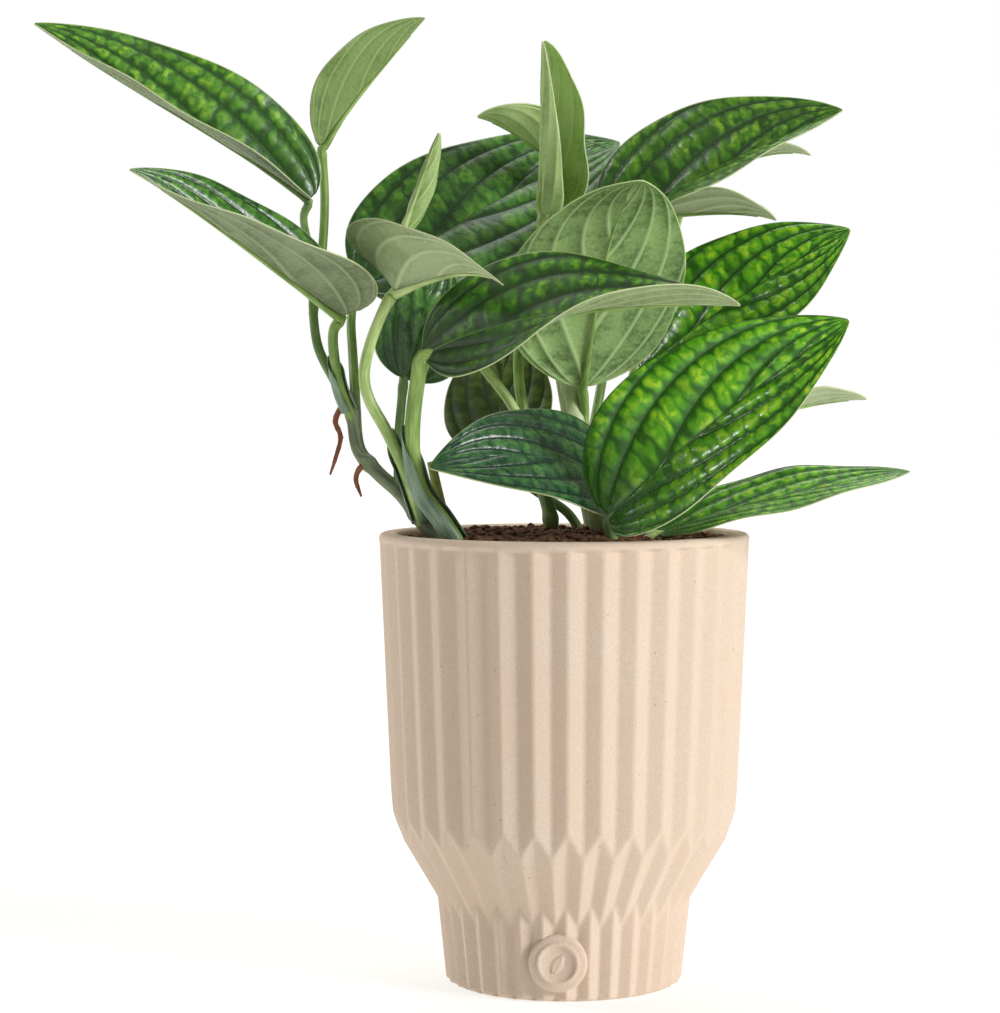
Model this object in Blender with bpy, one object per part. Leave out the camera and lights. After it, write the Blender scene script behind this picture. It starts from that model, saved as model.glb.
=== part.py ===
"""A potted climbing foliage plant: pleated stoneware pot, soil, stems, petioles and leaf blades.

Every size below is in millimetres and is turned to metres when a mesh is made. The origin is the
centre of the pot's underside, +Z is up and -Y is the front. The plant's points are measured from
the middle of the pot's rim and grow with the rim, so a wider pot holds a larger plant.
"""

import math

import bmesh
import bpy
import numpy as np

MM = 0.001

# Pot
POT_HEIGHT = 170.0
RIM_DIAMETER = 140.0
SHOULDER_DIAMETER = 127.0
FOOT_DIAMETER = 87.0
COLLAR_DIAMETER = 95.0
SHOULDER_HEIGHT = 60.0
COLLAR_HEIGHT = 33.0
BODY_START = 14.0
WALL = 7.5
FLOOR = 8.0
PLEATS = 34
PLEAT_DEPTH = 2.0
LIP_HEIGHT = 4.0
LIP_STEP = 1.2
EDGE_CHAMFER = 1.0
RIDGE_TURN = 2.0
BOSS_DIAMETER = 21.6
BOSS_HEIGHT = 15.0
BOSS_TURN = -3.8
BOSS_STAND = 1.6
BOSS_CHAMFER = 0.8
BOSS_ROOT = 3.0

# Soil
SOIL_BELOW_RIM = 2.5
SOIL_MOUND = 2.0

# Plant
LEAF_THICK = 0.7
PLANT_RISE = 1.0
STEM_SCALE = 1.0
CLEARANCE = 0.3
PETIOLE_STOP = 2.0
BASE_ROUND = 0.58
TIP_ROUND = 0.85
FIRST_ROW = 0.006
GROWN_RIM_DIAMETER = 140.0

GROWTH = RIM_DIAMETER / GROWN_RIM_DIAMETER
STALK_GROWTH = GROWTH * STEM_SCALE

# Each blade: where it joins its petiole and where it ends (right, back, above the rim), its
# width, how steeply it leaves the petiole and how far the tip droops, how far it is rolled about
# its length, how sharply the two halves fold up and curl (degrees), and how far the corners at
# its base reach back past the petiole (lobe, a share of half the width).
LEAVES = {
    "upper_left": dict(base=(-95, -5, 125), tip=(-196, -20, 189), width=54, rise=5, droop=-4,
                       roll=-36, fold=36, base_round=0.5, lobe=0.15),
    "left": dict(base=(-82, -18, 81), tip=(-157, -52, 133), width=56, rise=0, droop=5, roll=-20,
                 twist=-34, fold=44, fold_tip=24, base_round=0.36, lobe=0.4),
    "top_narrow": dict(base=(-92, 8, 146), tip=(-53, 20, 196), width=38, rise=8, droop=2,
                       roll=-26, fold=44),
    "front_pale": dict(base=(-63, -28, 90), tip=(-23, -77, 91), width=60, rise=22, droop=35,
                       roll=-24, fold=40, fold_tip=20, base_round=0.26, tip_round=1.1,
                       left_share=0.55, lobe=0.4),
    "front_centre": dict(base=(-52, -36, 67), tip=(61, -68, 84), width=60, rise=18, droop=12,
                         roll=27, twist=-85, fold=10, fold_tip=30),
    "centre_upright": dict(base=(7, 10, 55), tip=(27, -42, 130), width=74, rise=10, droop=35,
                           fold=5),
    "young_upright": dict(base=(-7, 21, 122), tip=(-8, 2, 185), width=66, roll=190, fold=5,
                          curl=165, curl_tip=100, left_share=0.3),
    "young_side": dict(base=(5, 41, 139), tip=(-33, 39, 160), width=34, droop=15, roll=-12,
                       fold=30, curl=80),
    "upper_right": dict(base=(15, 25, 115), tip=(106, 10, 160), width=60, rise=6, droop=4,
                        roll=44, fold=30, base_round=0.5),
    "right_pale": dict(base=(31, 48, 122), tip=(84, 40, 120), width=34, rise=5, droop=15,
                       fold=35),
    "far_small": dict(base=(52, 70, 138), tip=(101, 75, 148), width=24, rise=8, droop=25,
                      fold=30),
    "right": dict(base=(30, 20, 61), tip=(109, 10, 115), width=64, rise=10, droop=4, roll=50,
                  fold=8),
    "front_right": dict(base=(15, -45, 8), tip=(100, -62, 79), width=70, rise=11, droop=7,
                        roll=62, twist=20, fold=17, base_round=0.44, lobe=0.2),
    "low_left": dict(base=(41, 12, 13), tip=(-50, -49, 26), width=60, rise=12, droop=30, roll=-41,
                     fold=2),
    "low_right": dict(base=(34, -26, 1), tip=(127, -28, 24), width=44, rise=8, droop=4, roll=18,
                      fold=8),
    "low_back": dict(base=(-26, 42, 28), tip=(-21, 58, 82), width=46, fold=8, base_round=0.42),
    "far_right": dict(base=(70, 45, 40), tip=(122, 60, 50), width=30, rise=10, droop=10,
                      fold=30),
    "back_left": dict(base=(-77, 26, 94), tip=(24, 72, 153), width=70, rise=8, droop=12,
                      roll=47, fold=8, base_round=0.42),
    "mid_left": dict(base=(-60, -15, 58), tip=(-47, -5, 107), width=42, rise=5, droop=10,
                     roll=86, fold=10, base_round=0.42),
}

# The stems that stand in the soil and carry the petioles, from the top down.
STEMS = {
    "stem_left": dict(path=[(-81, -5, 53), (-80, -5, 48), (-79, -6, 41), (-77, -8, 31),
                            (-70, -12, 23), (-61, -16, 15), (-54, -20, 6), (-46, -24, -4),
                            (-44, -25, -18)], top=2.6, foot=2.9),
    "stem_thin": dict(path=[(-15, 18, 45), (-12, 14, 27), (-6, 6, 10), (-4, 4, -4),
                            (-3, 3, -18)], top=2.8, foot=2.6),
    "stem_centre": dict(path=[(0, 17, 66), (3, 16, 48), (7, 13, 26), (11, 8, 8), (13, 4, -4),
                              (14, 3, -18)], top=4.2, foot=4.2),
}

# Petioles, from the blade down to where they join a stem or go into the soil.
PETIOLES = {
    "upper_left": dict(path=[(-95, -5, 125), (-98, -2, 119), (-97, 3, 110), (-95, 5, 97),
                             (-95, 5, 84), (-93, 3, 70), (-87, 0, 58), (-80, -5, 46)],
                       top=1.4, foot=2.0, on=("stem_left",)),
    "top_narrow": dict(path=[(-92, 8, 146), (-91, 10, 133), (-91, 11, 120), (-92, 10, 105),
                             (-94, 8, 92), (-95, 5, 82)], top=1.6, foot=1.8, on=("upper_left",)),
    "left": dict(path=[(-82, -18, 81), (-86, -16, 76), (-86, -13, 66), (-84, -9, 54),
                       (-79, -6, 42)], top=1.8, foot=2.2, on=("stem_left",)),
    "back_left": dict(path=[(-77, 26, 94), (-80, 20, 88), (-81, 12, 80), (-80, 6, 66),
                            (-79, -1, 54), (-78, -6, 38)], top=1.6, foot=2.0, on=("stem_left",)),
    "front_pale": dict(path=[(-63, -28, 90), (-67, -30, 83), (-72, -31, 70), (-74, -31, 59),
                             (-72, -31, 50), (-66, -30, 39), (-60, -29, 26), (-56, -26, 14),
                             (-53, -21, 4)], top=2.0, foot=2.3, on=("stem_left",)),
    "front_centre": dict(path=[(-52, -36, 67), (-54, -36, 59), (-56, -36, 43), (-56, -35, 30),
                               (-53, -35, 17), (-45, -35, 6), (-39, -35, -4), (-36, -35, -18)],
                         top=2.8, foot=3.0),
    "mid_left": dict(path=[(-60, -15, 58), (-61, -15, 48), (-62, -15, 35), (-62, -15, 22),
                           (-62, -16, 14)], top=1.6, foot=2.0, on=("stem_left",)),
    "young_side": dict(path=[(5, 41, 139), (7, 35, 131), (6, 29, 118), (2, 28, 104),
                             (-7, 28, 90), (-16, 25, 75), (-17, 21, 59), (-15.4, 18.6, 47)],
                       top=1.4, foot=2.2, on=()),
    "rolled_spike": dict(path=[(-60, -5, 112), (-61, -4, 102), (-55, -1, 92), (-42, 2, 78),
                               (-31, 10, 63), (-21, 15, 50), (-13, 14, 36)], top=1.8, foot=2.0,
                         on=("stem_thin", "young_side")),
    "young_upright": dict(path=[(-7, 21, 122), (-8, 21, 98), (-5, 20, 83), (-1, 17.5, 68.5)],
                          top=2.4, foot=3.4, on=()),
    "centre_upright": dict(path=[(7, 10, 55), (8, 13, 48), (8, 15, 38), (7, 13, 28)], top=1.8,
                           foot=2.0, on=("stem_centre",)),
    "upper_right": dict(path=[(15, 25, 115), (11, 26, 104), (4, 25, 85), (3, 23, 66),
                              (6, 18, 46), (7, 14, 30)], top=1.8, foot=2.2,
                        on=("stem_centre", "centre_upright")),
    "right_pale": dict(path=[(31, 48, 122), (26, 45, 100), (19, 38, 74), (14, 26, 50),
                             (10, 17, 28), (9, 10, 14)], top=1.6, foot=2.0, on=("stem_centre",)),
    "far_small": dict(path=[(52, 70, 138), (46, 68, 118), (34, 56, 80), (24, 44, 40),
                            (20, 34, 12), (19, 30, -4), (19, 28, -18)], top=1.6, foot=2.2),
    "right": dict(path=[(30, 20, 61), (27, 21, 52), (24, 22, 36), (25, 18, 16), (27, 15, -4),
                        (27, 15, -18)], top=1.8, foot=2.2),
    "front_right": dict(path=[(15, -45, 8), (16, -44, 3), (17, -43, -4), (17, -42, -18)],
                        top=2.0, foot=2.4),
    "low_left": dict(path=[(41, 12, 13), (44, 13, 7), (43, 11, -4), (41, 10, -18)], top=1.8,
                     foot=2.2),
    "low_right": dict(path=[(34, -26, 1), (31, -26, -1), (29, -26, -6), (28, -26, -18)], top=1.8,
                      foot=2.2),
    "low_back": dict(path=[(-26, 42, 28), (-22, 39, 22), (-10, 34, 14), (2, 31, 6), (8, 30, -4),
                           (9, 29, -18)], top=1.6, foot=2.0),
    "far_right": dict(path=[(70, 45, 40), (62, 43, 34), (50, 38, 20), (42, 32, 4), (38, 29, -5),
                            (37, 28, -18)], top=1.4, foot=2.0),
}

# Small pieces: the rolled new leaf, a cut-off petiole and the aerial roots.
EXTRAS = {
    "leaf_rolled_spike": dict(path=[(-47, -5, 150), (-50, -5, 141), (-53, -5, 131),
                                    (-57, -5, 121), (-60, -5, 113)],
                              radii=(0.5, 1.7, 2.6, 2.9, 1.8)),
    "petiole_cut_stub": dict(path=[(-50, -8, 27), (-47, -9, 13), (-43, -11, -4), (-42, -12, -18)],
                             radii=(1.8, 2.0, 2.2, 2.2)),
    "aerial_root_long": dict(path=[(-84, -6, 48), (-86, -7, 42), (-84, -8, 36), (-86, -8, 28),
                                   (-88, -8, 22)], radii=(1.2, 1.1, 1.0, 0.9, 0.5)),
    "aerial_root_short": dict(path=[(-77, -12, 24), (-78, -13, 20), (-76, -13, 14)],
                              radii=(1.1, 0.9, 0.5)),
}

# Each material: its name, linear colour and roughness. None of them is metallic.
STONEWARE = ("stoneware", (0.78, 0.66, 0.54), 0.8)
SOIL_MIX = ("potting_mix", (0.06, 0.035, 0.022), 0.95)
GREEN = ("leaf", (0.06, 0.20, 0.04), 0.35)
YOUNG_GREEN = ("young_leaf", (0.36, 0.52, 0.16), 0.45)
STALK = ("petiole", (0.27, 0.42, 0.14), 0.45)
STEM = ("stem", (0.17, 0.27, 0.14), 0.5)
ROOT = ("root", (0.24, 0.12, 0.06), 0.8)
YOUNG_LEAVES = ("young_upright", "young_side")


def clear_scene():
    for obj in list(bpy.data.objects):
        bpy.data.objects.remove(obj, do_unlink=True)


def material(kind):
    """The Principled material of a kind, made the first time that it is asked for."""
    name, colour, roughness = kind
    found = bpy.data.materials.get(name)
    if found is None:
        found = bpy.data.materials.new(name)
        found.use_nodes = True
        shader = found.node_tree.nodes["Principled BSDF"]
        shader.inputs["Base Color"].default_value = (*colour, 1.0)
        shader.inputs["Roughness"].default_value = roughness
        shader.inputs["Metallic"].default_value = 0.0
        found.diffuse_color = (*colour, 1.0)
    return found


def make_object(name, vertices, faces, kind, smooth=True):
    """One mesh object from points in millimetres, with its normals turned out."""
    mesh = bpy.data.meshes.new(name)
    mesh.from_pydata([tuple(float(c) * MM for c in v) for v in vertices], [], faces)
    shape = bmesh.new()
    shape.from_mesh(mesh)
    bmesh.ops.recalc_face_normals(shape, faces=shape.faces[:])
    shape.to_mesh(mesh)
    shape.free()
    mesh.materials.append(material(kind))
    for polygon in mesh.polygons:
        polygon.use_smooth = smooth
    obj = bpy.data.objects.new(name, mesh)
    bpy.context.scene.collection.objects.link(obj)
    return obj


def hide_cutter(obj):
    obj.hide_render = True
    obj.display_type = "WIRE"
    return obj


def cut(obj, cutter):
    boolean = obj.modifiers.new("cut_" + cutter.name, "BOOLEAN")
    boolean.operation = "DIFFERENCE"
    boolean.solver = "EXACT"
    boolean.object = cutter


def place(point):
    """A point of the plant, from right, back and height above the middle of the rim."""
    return np.array(point, float) * GROWTH + np.array([0.0, 0.0, POT_HEIGHT])


def raised(points):
    """Points of the plant with their heights above the rim stretched by PLANT_RISE."""
    points = np.array(points, float)
    points[:, 2] = POT_HEIGHT + (points[:, 2] - POT_HEIGHT) * PLANT_RISE
    return points


def smooth_path(points, steps):
    """Points on a curve that passes through every one of the given points."""
    given = np.array(points, float)
    ends = np.vstack([2 * given[0] - given[1], given, 2 * given[-1] - given[-2]])
    spans = len(given) - 1
    out = []
    for step in range(steps + 1):
        along = step / steps * spans
        i = min(int(along), spans - 1)
        f = along - i
        a, b, c, d = ends[i:i + 4]
        point = 2 * b + (c - a) * f + (2 * a - 5 * b + 4 * c - d) * f * f
        point = point + (3 * b - a - 3 * c + d) * f ** 3
        out.append(0.5 * point)
    return np.array(out)


def trimmed(points, stop):
    """The path with the first `stop` millimetres taken off its start."""
    left = stop
    for i in range(len(points) - 1):
        span = np.linalg.norm(points[i + 1] - points[i])
        if left < span:
            start = points[i] + (points[i + 1] - points[i]) * left / span
            return np.vstack([start, points[i + 1:]])
        left -= span
    return points


def tube(name, points, radii, kind, sides=7, finish=np.array):
    """A closed round stalk along the points, one radius for each point."""
    tangents = np.gradient(points, axis=0)
    tangents /= np.linalg.norm(tangents, axis=1)[:, None]
    across = np.cross(tangents[0], (0.3, 1.0, 0.2))
    across /= np.linalg.norm(across)
    vertices = []
    for point, along, radius in zip(points, tangents, radii):
        across = across - along * np.dot(across, along)
        across /= np.linalg.norm(across)
        other = np.cross(along, across)
        for side in range(sides):
            turn = 2 * math.pi * side / sides
            vertices.append(point + radius * (math.cos(turn) * across + math.sin(turn) * other))
    faces = []
    for ring in range(len(points) - 1):
        for side in range(sides):
            a = ring * sides + side
            b = ring * sides + (side + 1) % sides
            faces.append((a, b, b + sides, a + sides))
    faces.append(tuple(range(sides)))
    last = (len(points) - 1) * sides
    faces.append(tuple(range(last + sides - 1, last - 1, -1)))
    return make_object(name, finish(vertices), faces, kind)


def turned(vector, axis, degrees):
    c = math.cos(math.radians(degrees))
    s = math.sin(math.radians(degrees))
    return vector * c + np.cross(axis, vector) * s + axis * np.dot(axis, vector) * (1 - c)


def blade_points(leaf, along_cells, across_cells):
    """The upper face of a leaf blade as rows of points from its base to its tip."""
    base = place(leaf["base"])
    tip = place(leaf["tip"])
    chord = tip - base
    length = np.linalg.norm(chord)
    t = chord / length
    n = np.array([0.0, 0.0, 1.0]) - t[2] * t
    n = turned(n / np.linalg.norm(n), t, leaf.get("roll", 0))
    leave = t + n * math.tan(math.radians(leaf.get("rise", 0)))
    arrive = t - n * math.tan(math.radians(leaf.get("droop", 0)))
    p0, p1, p2, p3 = base, base + leave * length / 3, tip - arrive * length / 3, tip
    power = leaf.get("base_round", BASE_ROUND)
    tip_power = leaf.get("tip_round", TIP_ROUND)
    peak = power / (power + tip_power)
    peak_value = peak ** power * (1 - peak) ** tip_power
    fold = leaf["fold"]
    fold_tip = leaf.get("fold_tip", fold)
    curl_base = leaf.get("curl", 0.01)
    curl_tip = leaf.get("curl_tip", curl_base)
    rows = []
    for row in range(along_cells + 1):
        u = FIRST_ROW + (1 - 2 * FIRST_ROW) * row / along_cells
        w = 1 - u
        middle = w ** 3 * p0 + 3 * w * w * u * p1 + 3 * w * u * u * p2 + u ** 3 * p3
        tangent = w * w * (p1 - p0) + 2 * w * u * (p2 - p1) + u * u * (p3 - p2)
        tangent /= np.linalg.norm(tangent)
        normal = n - np.dot(n, tangent) * tangent
        normal /= np.linalg.norm(normal)
        normal = turned(normal, tangent, leaf.get("twist", 0) * (u - 0.5))
        side = np.cross(tangent, normal)
        half = leaf["width"] * GROWTH / 2 * u ** power * w ** tip_power / peak_value
        angle = math.radians(fold + (fold_tip - fold) * u)
        curl = math.radians(curl_base + (curl_tip - curl_base) * u)
        back = leaf.get("lobe", 0.0) * half * w * w * tangent
        line = []
        for column in range(across_cells + 1):
            v = 2 * column / across_cells - 1
            reach = abs(v)
            share = leaf.get("left_share", 1.0) if v < 0 else 1.0
            out = (math.sin(angle + curl * reach) - math.sin(angle)) / curl
            up = (math.cos(angle) - math.cos(angle + curl * reach)) / curl
            spot = middle + share * half * (math.copysign(out, v) * side + up * normal)
            line.append(spot - share * reach * reach * back)
        rows.append(raised(line))
    return rows


def blade(name, leaf, kind):
    """A closed leaf blade of even thickness, laid out on a grid."""
    along_cells, across_cells = 10, 4
    shape = bmesh.new()
    bmesh.ops.create_grid(shape, x_segments=across_cells, y_segments=along_cells, size=1.0)
    mesh = bpy.data.meshes.new(name)
    shape.to_mesh(mesh)
    shape.free()
    rows = blade_points(leaf, along_cells, across_cells)
    for vertex in mesh.vertices:
        column = round((vertex.co.x + 1) / 2 * across_cells)
        row = round((vertex.co.y + 1) / 2 * along_cells)
        vertex.co = [float(c) * MM for c in rows[row][column]]
    for polygon in mesh.polygons:
        polygon.use_smooth = True
    mesh.materials.append(material(kind))
    obj = bpy.data.objects.new(name, mesh)
    bpy.context.scene.collection.objects.link(obj)
    solid = obj.modifiers.new("thickness", "SOLIDIFY")
    solid.thickness = LEAF_THICK * MM
    solid.offset = -1.0
    return obj


def pleated_profile():
    """Rows of the pot from its underside up the outside and down the inside.

    Each row is (height at a ridge, radius at a ridge, height at a valley, radius at a valley).
    """
    d = PLEAT_DEPTH / 2
    foot = FOOT_DIAMETER / 2
    collar = COLLAR_DIAMETER / 2
    shoulder = SHOULDER_DIAMETER / 2
    rim = RIM_DIAMETER / 2
    slope = (shoulder - collar) / (SHOULDER_HEIGHT - COLLAR_HEIGHT)
    shift = 2 * d / slope
    low, high = COLLAR_HEIGHT, SHOULDER_HEIGHT
    body = high + BODY_START
    wide = shoulder + EDGE_CHAMFER
    lip = POT_HEIGHT - LIP_HEIGHT
    edge = EDGE_CHAMFER
    pleated = [
        (0, 0, foot - edge),
        (edge, edge, foot),
        (low + shift, low - shift, collar),
        (high + shift, high - shift, shoulder),
        (body + shift, body - shift, wide),
        (lip - LIP_HEIGHT, lip - LIP_HEIGHT, rim - LIP_STEP),
    ]
    plain = [
        (lip, rim),
        (POT_HEIGHT - edge, rim),
        (POT_HEIGHT, rim - edge),
        (POT_HEIGHT, rim - WALL + edge),
        (POT_HEIGHT - edge, rim - WALL),
        (body, wide - WALL - d),
        (low, collar - WALL - d),
        (FLOOR, foot - WALL - d),
    ]
    rows = [(ridge, r + d, valley, r - d) for ridge, valley, r in pleated]
    return rows + [(z, r, z, r) for z, r in plain]


def pot():
    profile = pleated_profile()
    columns = 2 * PLEATS
    front = math.radians(-90 + RIDGE_TURN)
    vertices = []
    for ridge_z, ridge_r, valley_z, valley_r in profile:
        for column in range(columns):
            turn = front + 2 * math.pi * column / columns
            z, r = (ridge_z, ridge_r) if column % 2 == 0 else (valley_z, valley_r)
            vertices.append((r * math.cos(turn), r * math.sin(turn), z))
    faces = []
    for row in range(len(profile) - 1):
        for column in range(columns):
            a = row * columns + column
            b = row * columns + (column + 1) % columns
            faces.append((a, b, b + columns, a + columns))
    faces.append(tuple(range(columns)))
    last = (len(profile) - 1) * columns
    faces.append(tuple(range(last + columns - 1, last - 1, -1)))
    body = make_object("pot", vertices, faces, STONEWARE, smooth=False)
    lean = (COLLAR_DIAMETER - FOOT_DIAMETER) / 2 / COLLAR_HEIGHT
    wall = FOOT_DIAMETER / 2 + lean * BOSS_HEIGHT
    out = wall + PLEAT_DEPTH / 2 + BOSS_STAND
    depths = (wall - BOSS_ROOT, out - BOSS_CHAMFER, out)
    turn = math.radians(-90 + BOSS_TURN)
    line = [(depth * math.cos(turn), depth * math.sin(turn), BOSS_HEIGHT) for depth in depths]
    radius = BOSS_DIAMETER / 2
    radii = (radius, radius, radius - BOSS_CHAMFER)
    disc = tube("cutter_boss", np.array(line), radii, STONEWARE, sides=24)
    hide_cutter(disc)
    union = body.modifiers.new("boss", "BOOLEAN")
    union.operation = "UNION"
    union.solver = "EXACT"
    union.object = disc
    return body


def soil_radius(height):
    """The inside radius of the pot at a height, less the clearance."""
    inside = sorted((row[0], row[1]) for row in pleated_profile()[-4:])
    heights = [row[0] for row in inside]
    radii = [row[1] for row in inside]
    return float(np.interp(height, heights, radii)) - CLEARANCE


def soil():
    """Potting mix that fills the pot to just below the rim, a little higher in the middle."""
    around = 36
    edge_top = POT_HEIGHT - SOIL_BELOW_RIM
    body = SHOULDER_HEIGHT + BODY_START
    sides = [FLOOR + CLEARANCE, COLLAR_HEIGHT, body, edge_top]
    vertices = []
    for height in sides:
        radius = soil_radius(height)
        for k in range(around):
            turn = 2 * math.pi * k / around
            vertices.append((radius * math.cos(turn), radius * math.sin(turn), height))
    rings = (0.8, 0.55, 0.3)
    for ring, share in enumerate(rings):
        radius = soil_radius(edge_top) * share
        for k in range(around):
            turn = 2 * math.pi * k / around
            bump = 0.5 * math.sin(3 * turn + ring) + 0.4 * math.sin(7 * turn + 2 * ring)
            z = edge_top + SOIL_MOUND * (1 - share * share) + bump
            vertices.append((radius * math.cos(turn), radius * math.sin(turn), z))
    rows = len(sides) + len(rings)
    faces = []
    for row in range(rows - 1):
        for k in range(around):
            a = row * around + k
            b = row * around + (k + 1) % around
            faces.append((a, b, b + around, a + around))
    faces.append(tuple(range(around)))
    vertices.append((0, 0, edge_top + SOIL_MOUND))
    last = (rows - 1) * around
    for k in range(around):
        faces.append((last + k, last + (k + 1) % around, len(vertices) - 1))
    return make_object("soil", vertices, faces, SOIL_MIX)


def stalk(name, spec, kind, stop=0.0, sides=7):
    """A stalk and, hidden, the same stalk made fatter by the clearance to cut its neighbours."""
    steps = max(5, 2 * (len(spec["path"]) - 1))
    points = smooth_path([place(p) for p in spec["path"]], steps)
    whole = points
    if stop:
        points = trimmed(points, stop * STALK_GROWTH)
    if "radii" in spec:
        given = spec["radii"]
    else:
        given = (spec["top"], spec["foot"])
    ends = np.linspace(0, 1, len(given))
    radii = np.interp(np.linspace(0, 1, len(points)), ends, given) * STALK_GROWTH
    made = tube(name, points, radii, kind, sides, finish=raised)
    radii = np.interp(np.linspace(0, 1, len(whole)), ends, given) * STALK_GROWTH
    fat = radii / math.cos(math.pi / sides) + CLEARANCE
    cutter = tube("cutter_" + name, whole, fat, kind, sides, finish=raised)
    hide_cutter(cutter)
    return made, cutter


clear_scene()
pot()
earth = soil()
cutters = {}
in_soil = []
for key, spec in STEMS.items():
    _, cutters[key] = stalk(key, spec, STEM, sides=8)
    in_soil.append(cutters[key])
for key, spec in PETIOLES.items():
    made, cutter = stalk("petiole_" + key, spec, STALK, stop=PETIOLE_STOP)
    cutters[key] = cutter
    for neighbour in spec.get("on", ()):
        cut(made, cutters[neighbour])
    if "on" not in spec:
        in_soil.append(cutter)
for key, spec in EXTRAS.items():
    kind = {"leaf": YOUNG_GREEN, "petiole": STALK, "aerial": ROOT}[key.split("_")[0]]
    made, cutter = stalk(key, spec, kind, sides=6)
    if key == "petiole_cut_stub":
        in_soil.append(cutter)
    if key == "aerial_root_long":
        cut(made, cutters["left"])
    if key.startswith("aerial_root"):
        cut(made, cutters["stem_left"])
for cutter in in_soil:
    cut(earth, cutter)
for key, leaf in LEAVES.items():
    blade("leaf_" + key, leaf, YOUNG_GREEN if key in YOUNG_LEAVES else GREEN)
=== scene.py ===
# %% [markdown]
# # A potted climbing aroid
# This notebook dresses a measured solid model of a potted foliage plant: a pleated stoneware
# pot, crumbly soil, fleshy stems, and twenty quilted leaves on long petioles. Every piece is
# built at its real size, in metres, round the frame that the solid model gives.

# %% Load the frame and measure it
import math
import random

import bmesh
import bpy
import numpy as np
from mathutils import Matrix, Vector, noise


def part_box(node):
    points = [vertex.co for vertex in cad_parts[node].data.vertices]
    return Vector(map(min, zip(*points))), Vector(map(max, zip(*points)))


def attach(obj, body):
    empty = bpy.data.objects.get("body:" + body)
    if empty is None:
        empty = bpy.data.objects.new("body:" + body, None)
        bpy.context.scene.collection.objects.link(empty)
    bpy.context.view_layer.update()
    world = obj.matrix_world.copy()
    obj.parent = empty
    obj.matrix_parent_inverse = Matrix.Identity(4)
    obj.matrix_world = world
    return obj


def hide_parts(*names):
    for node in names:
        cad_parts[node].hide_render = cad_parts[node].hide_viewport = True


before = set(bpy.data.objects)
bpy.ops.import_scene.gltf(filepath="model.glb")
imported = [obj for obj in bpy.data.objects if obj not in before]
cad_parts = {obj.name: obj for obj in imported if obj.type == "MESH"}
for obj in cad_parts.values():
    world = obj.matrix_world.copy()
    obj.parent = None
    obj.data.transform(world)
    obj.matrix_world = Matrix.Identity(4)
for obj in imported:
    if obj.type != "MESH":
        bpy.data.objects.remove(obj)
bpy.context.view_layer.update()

# %% [markdown]
# All design sizes below are millimetres, because that is how a grower or a potter would read
# them, and one factor turns them to metres. The plant's points are measured from the middle
# of the pot's rim, whose height and width come from the frame.

# %% Units, and the middle of the rim
MM = 0.001
pot_low, pot_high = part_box("pot")
RIM_HEIGHT = pot_high.z / MM
RIM_WIDTH = (pot_high.x - pot_low.x) / MM
GROWTH = round(RIM_WIDTH / 140.0, 2)
print("rim", round(RIM_WIDTH), "mm wide,", round(RIM_HEIGHT), "mm up, growth", GROWTH)


def place(point):
    """A point of the plant, in millimetres, from right, back and height above the rim."""
    return np.array(point, float) * GROWTH + np.array([0.0, 0.0, RIM_HEIGHT])


# %% [markdown]
# ## The camera and the room
# A long lens a metre away keeps the pot's sides nearly parallel. It looks almost level, a
# little down into the rim, so only a thin strip of soil shows.

# %% Camera
CAMERA_BACK = 1073.5
CAMERA_UP = 228.3
CAMERA_LEFT = 24.2
TILT = 2.59
LENS = 102.24

camera_data = bpy.data.cameras.new("camera")
camera_data.lens = LENS
camera_data.sensor_width = 36.0
camera_data.sensor_fit = "HORIZONTAL"
camera = bpy.data.objects.new("camera", camera_data)
bpy.context.scene.collection.objects.link(camera)
camera.location = (-CAMERA_LEFT * MM, -CAMERA_BACK * MM, CAMERA_UP * MM)
camera.rotation_euler = (math.radians(90 - TILT), 0, 0)
bpy.context.scene.camera = camera
print("camera", [round(c, 3) for c in camera.location])

# %% [markdown]
# Colours are written as the hex values that a paint chart or a web page would give. Blender
# works in linear light, so one function converts them.

# %% Colour and node helpers
def linear(colour):
    """An sRGB hex colour as linear red, green, blue and alpha."""
    parts = [int(colour[i:i + 2], 16) / 255 for i in (1, 3, 5)]
    bent = [c / 12.92 if c <= 0.04045 else ((c + 0.055) / 1.055) ** 2.4 for c in parts]
    return (*bent, 1.0)


def add(tree, kind, inputs=None, **settings):
    """One node with its settings, and its inputs set to values or linked to sockets."""
    made = tree.nodes.new(kind)
    for key, value in settings.items():
        setattr(made, key, value)
    for key, value in (inputs or {}).items():
        if isinstance(value, bpy.types.NodeSocket):
            tree.links.new(value, made.inputs[key])
        else:
            made.inputs[key].default_value = value
    return made


def new_material(name):
    """An empty Principled material: its tree and its shader node."""
    made = bpy.data.materials.new(name)
    made.use_nodes = True
    return made, made.node_tree, made.node_tree.nodes["Principled BSDF"]


def piece_of(bm, name, *finishes, smooth=True):
    """The object that holds a finished bmesh, with its materials."""
    mesh = bpy.data.meshes.new(name)
    bm.to_mesh(mesh)
    bm.free()
    if smooth:
        mesh.shade_smooth()
    for finish in finishes:
        mesh.materials.append(finish)
    made = bpy.data.objects.new(name, mesh)
    bpy.context.scene.collection.objects.link(made)
    return made


print("ivory", [round(c, 2) for c in linear("#fffff0")])

# %% [markdown]
# The room is an endless white table under a white sky. Its lights are suns with wide discs,
# which shade as softly as big soft boxes do but light the whole table evenly, so that no
# horizon shows, and the table's paper glows a little to stay as pale as the sky. The key comes
# from the right and one lights from above. A weak one from behind on the left, and one on the
# left that adds shine but no light, draw glints along the leaves. The sky is dimmer for matt
# surfaces than it looks, or it would wash out the pleats.

# %% Floor and lights
SKY_GLOW = 0.17
SKY_SHINE = 0.36


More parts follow.
